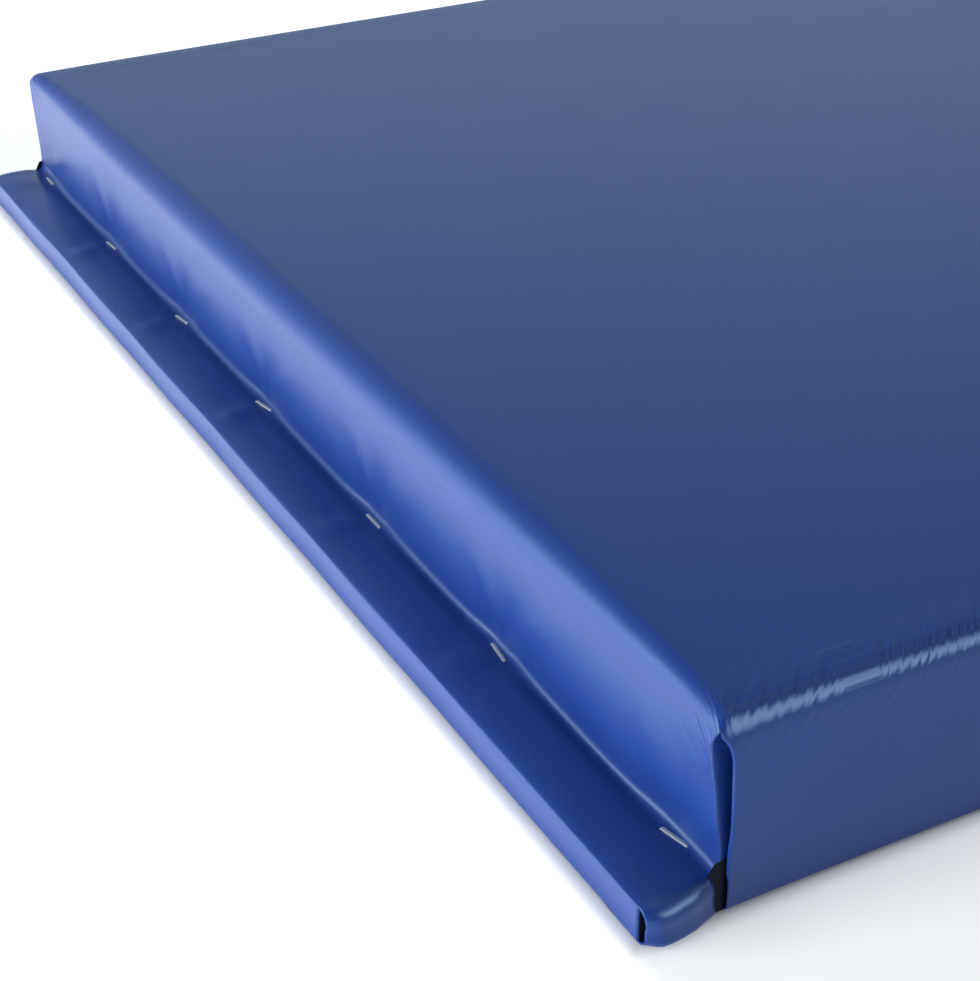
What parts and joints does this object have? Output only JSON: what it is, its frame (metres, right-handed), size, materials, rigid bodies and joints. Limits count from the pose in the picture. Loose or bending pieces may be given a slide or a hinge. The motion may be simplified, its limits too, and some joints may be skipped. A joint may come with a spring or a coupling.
{
  "type": "gym wall pad",
  "caption": "Board-backed foam gym wall pad in stretched blue vinyl, with a stapled mounting lip at each end for screwing it to a wall.",
  "frame": {"origin": "centre of the pad's back, on the plane it rests on when it lies padded face up", "axes": "+X along the pad's length towards the top lip, +Y across its width, +Z out of the padded face, away from the wall"},
  "size_m": [1.8288, 0.6096, 0.065],
  "materials": {
    "vinyl": "satin",
    "board": "matte",
    "foam": "matte",
    "staple_wire": "satin"
  },
  "bodies": {
    "root": {"backing_board": "board", "foam_core": "foam", "vinyl_cover": "vinyl", "bottom_lip_staple_1": "staple_wire", "bottom_lip_staple_2": "staple_wire", "bottom_lip_staple_3": "staple_wire", "bottom_lip_staple_4": "staple_wire", "bottom_lip_staple_5": "staple_wire", "bottom_lip_staple_6": "staple_wire", "bottom_lip_staple_7": "staple_wire", "top_lip_staple_1": "staple_wire", "top_lip_staple_2": "staple_wire", "top_lip_staple_3": "staple_wire", "top_lip_staple_4": "staple_wire", "top_lip_staple_5": "staple_wire", "top_lip_staple_6": "staple_wire", "top_lip_staple_7": "staple_wire", "bottom_back_staple_1": "staple_wire", "bottom_back_staple_2": "staple_wire", "bottom_back_staple_3": "staple_wire", "bottom_back_staple_4": "staple_wire", "bottom_back_staple_5": "staple_wire", "bottom_back_staple_6": "staple_wire", "bottom_back_staple_7": "staple_wire", "top_back_staple_1": "staple_wire", "top_back_staple_2": "staple_wire", "top_back_staple_3": "staple_wire", "top_back_staple_4": "staple_wire", "top_back_staple_5": "staple_wire", "top_back_staple_6": "staple_wire", "top_back_staple_7": "staple_wire", "right_back_staple_1": "staple_wire", "right_back_staple_2": "staple_wire", "right_back_staple_3": "staple_wire", "right_back_staple_4": "staple_wire", "right_back_staple_5": "staple_wire", "right_back_staple_6": "staple_wire", "right_back_staple_7": "staple_wire", "right_back_staple_8": "staple_wire", "right_back_staple_9": "staple_wire", "right_back_staple_10": "staple_wire", "right_back_staple_11": "staple_wire", "right_back_staple_12": "staple_wire", "right_back_staple_13": "staple_wire", "right_back_staple_14": "staple_wire", "left_back_staple_1": "staple_wire", "left_back_staple_2": "staple_wire", "left_back_staple_3": "staple_wire", "left_back_staple_4": "staple_wire", "left_back_staple_5": "staple_wire", "left_back_staple_6": "staple_wire", "left_back_staple_7": "staple_wire", "left_back_staple_8": "staple_wire", "left_back_staple_9": "staple_wire", "left_back_staple_10": "staple_wire", "left_back_staple_11": "staple_wire", "left_back_staple_12": "staple_wire", "left_back_staple_13": "staple_wire", "left_back_staple_14": "staple_wire"}
  },
  "joints": []
}
